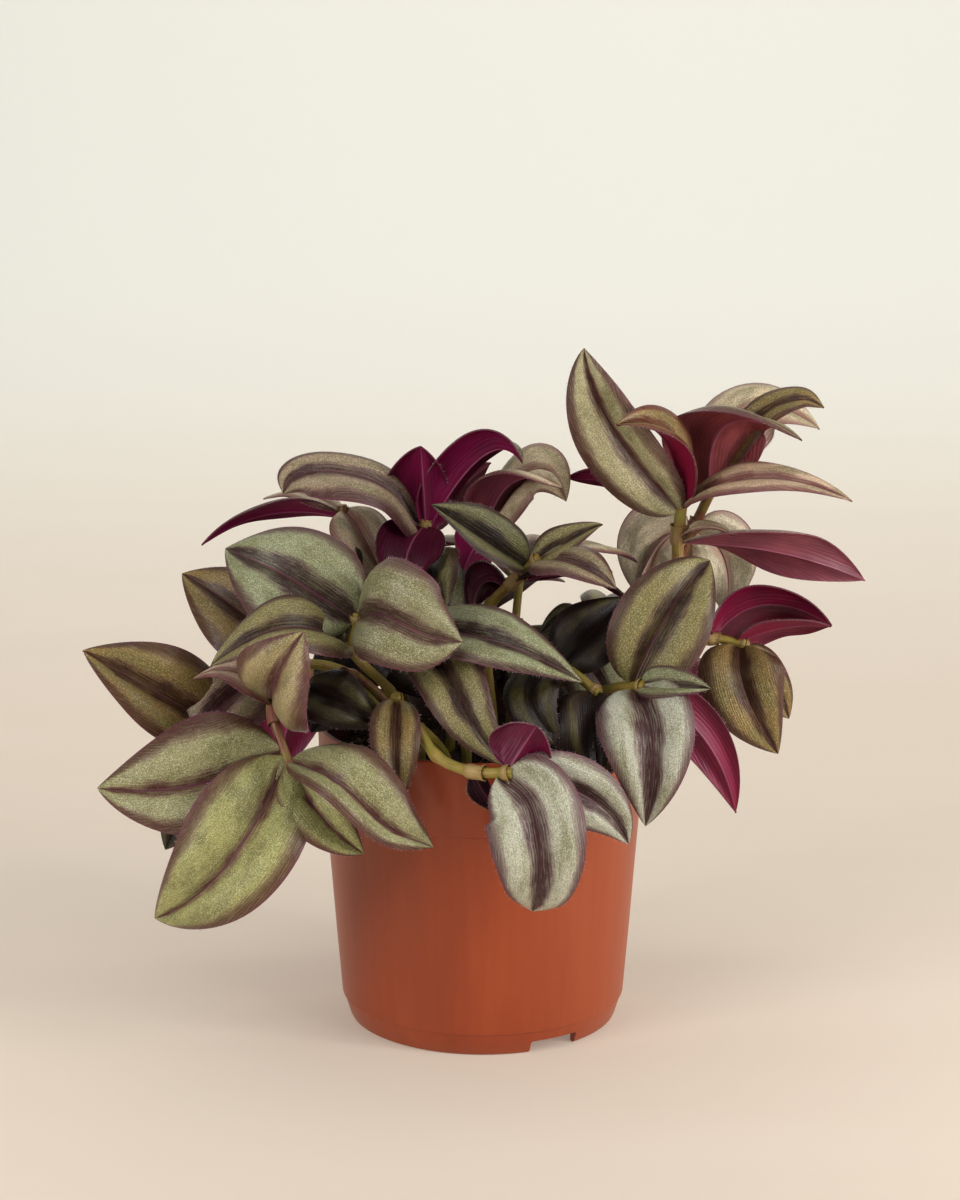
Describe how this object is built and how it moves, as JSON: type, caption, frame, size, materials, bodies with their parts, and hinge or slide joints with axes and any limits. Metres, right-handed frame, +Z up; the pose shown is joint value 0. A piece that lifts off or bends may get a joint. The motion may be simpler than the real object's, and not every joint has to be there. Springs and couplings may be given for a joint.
{
  "type": "potted tradescantia",
  "caption": "Small nursery pot of soil with trailing leafy stems, whose folded pointed leaves are striped silver green and purple.",
  "frame": {"origin": "middle of the pot's foot, on the surface that it stands on, which is also the middle of the whole plant seen from above", "axes": "+Z up along the pot's axis, -Y towards the side seen in the picture, +X to its right"},
  "size_m": [0.2785, 0.1781, 0.2501],
  "materials": {
    "pot": "satin moulded terracotta-coloured plastic",
    "soil": null,
    "foliage": null
  },
  "bodies": {
    "root": {"pot": "pot", "soil": "soil", "stem_low_left": "foliage", "stem_left_back": "foliage", "stem_left_mid": "foliage", "stem_centre_front": "foliage", "stem_back_left": "foliage", "stem_centre_left": "foliage", "stem_centre_back": "foliage", "stem_centre": "foliage", "stem_centre_small": "foliage", "stem_right_tall": "foliage", "stem_right_back": "foliage", "stem_right_low": "foliage", "stem_right_front": "foliage", "stem_front_right": "foliage", "stem_front": "foliage", "stem_front_left": "foliage", "stem_back_low_left": "foliage", "stem_back_mid": "foliage", "stem_back_low_right": "foliage", "stem_back_top": "foliage"}
  },
  "joints": []
}
